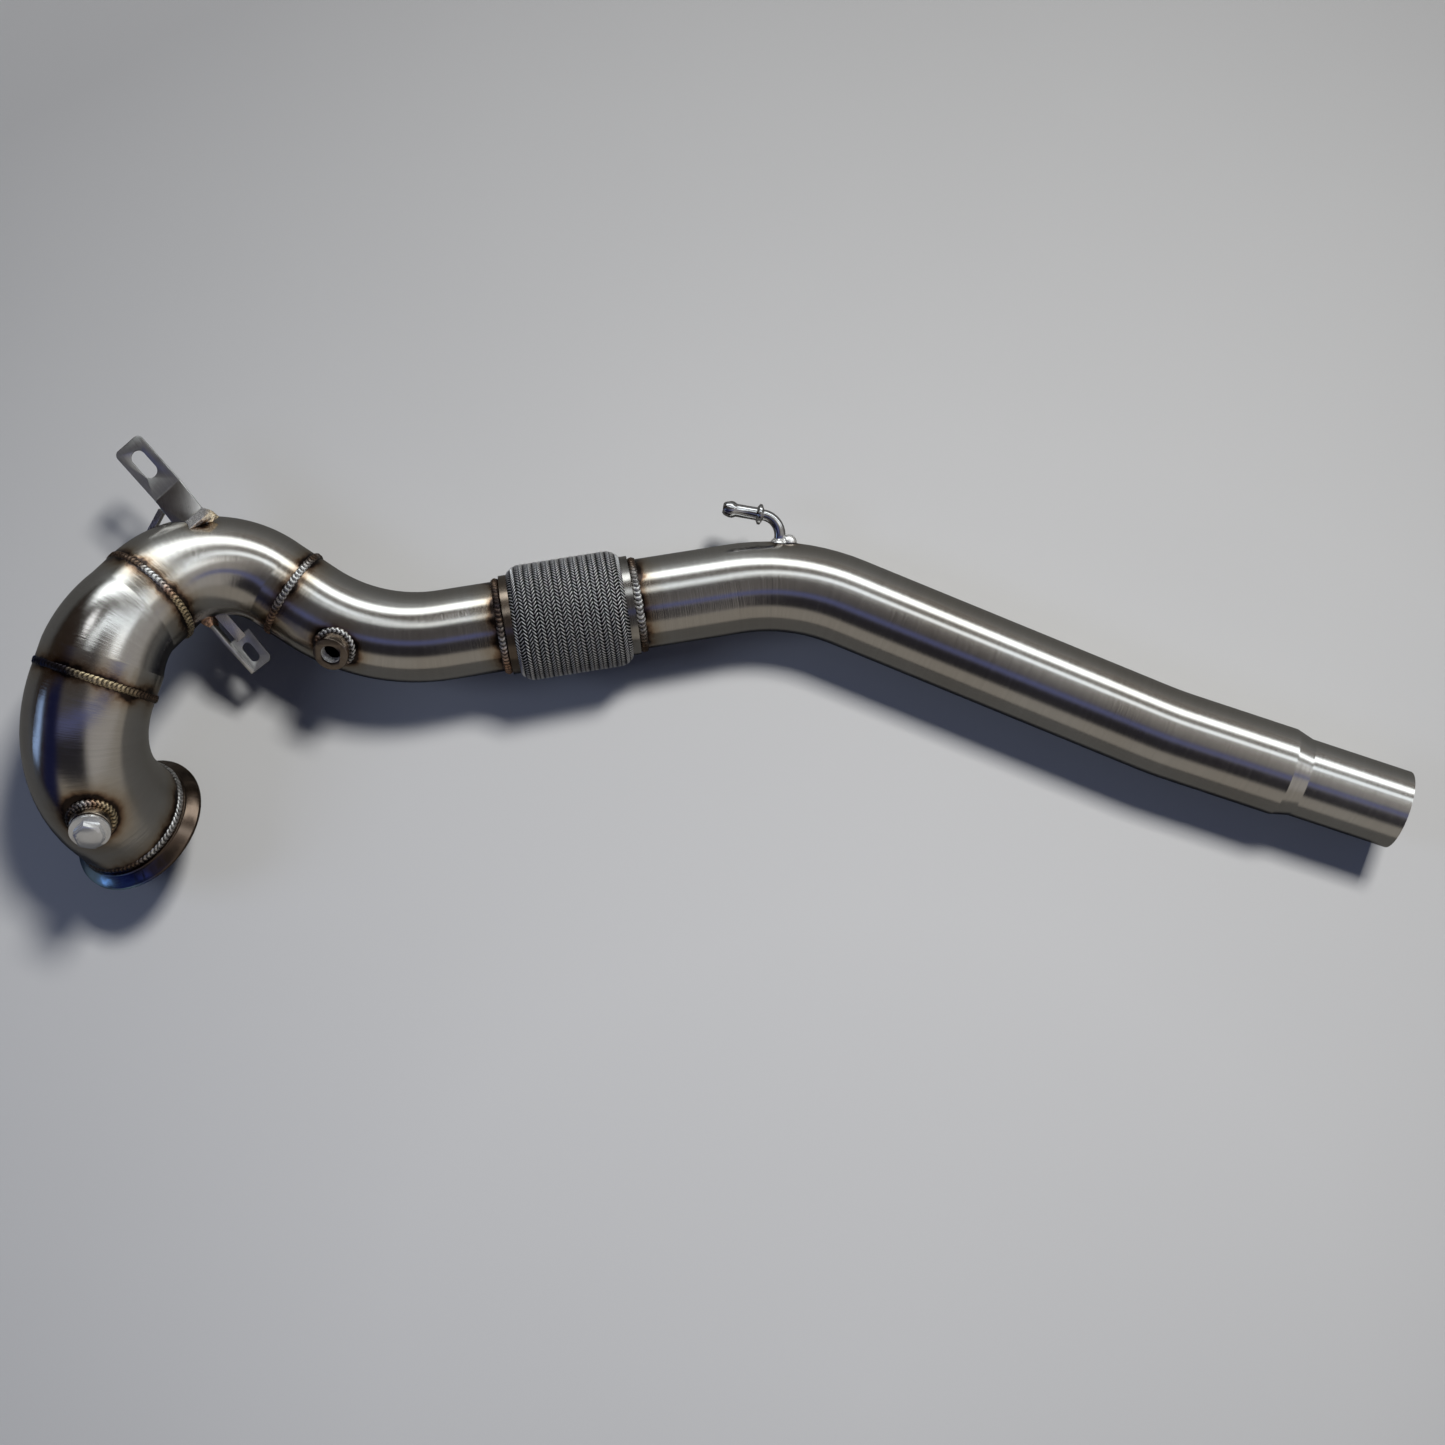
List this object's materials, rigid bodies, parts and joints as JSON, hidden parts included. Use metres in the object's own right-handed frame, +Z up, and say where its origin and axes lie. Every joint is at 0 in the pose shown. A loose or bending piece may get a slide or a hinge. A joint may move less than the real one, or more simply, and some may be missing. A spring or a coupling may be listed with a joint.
{
  "type": "turbo downpipe",
  "caption": "Welded stainless downpipe: a clamp flange, a reducing elbow with sensor bungs, a braided flex coupling and a long pipe with a swaged slip end.",
  "frame": {"origin": "centre of the clamp flange's mating face", "axes": "+X along the slip end, the way the exhaust leaves; +Z up as the pipe lies on a bench"},
  "size_m": [1.1172, 0.4813, 0.1685],
  "materials": {
    "tube": "brushed round the tube, straw and brown beside the welds",
    "flange": "turned",
    "weld": "rippled bead, straw and brown",
    "braid": "woven wire",
    "bellows": "bright",
    "bung": "turned",
    "plug": "bright zinc",
    "bracket": "brushed flat",
    "nozzle": "bright"
  },
  "bodies": {
    "root": {"outlet_pipe": "tube", "lower_elbow": "tube", "inlet_elbow": "tube", "upper_elbow": "tube", "reducing_sleeve": "tube", "inlet_flange": "flange", "inlet_weld": "weld", "elbow_weld_1": "weld", "elbow_weld_2": "weld", "elbow_weld_3": "weld", "flex_rear_collar": "bung", "flex_rear_weld": "weld", "flex_front_collar": "bung", "flex_front_weld": "weld", "flex_liner": "bellows", "flex_bellows": "bellows", "flex_braid": "braid", "plugged_bung": "bung", "plugged_bung_weld": "weld", "open_bung": "bung", "open_bung_weld": "weld", "plug_washer": "plug", "bung_plug": "plug", "upper_bracket": "bracket", "upper_bracket_weld": "weld", "upper_bracket_rib": "bracket", "lower_bracket": "bracket", "lower_bracket_brace": "bracket", "lower_bracket_weld": "weld", "hose_nozzle": "nozzle", "hose_nozzle_weld": "weld"}
  },
  "joints": []
}
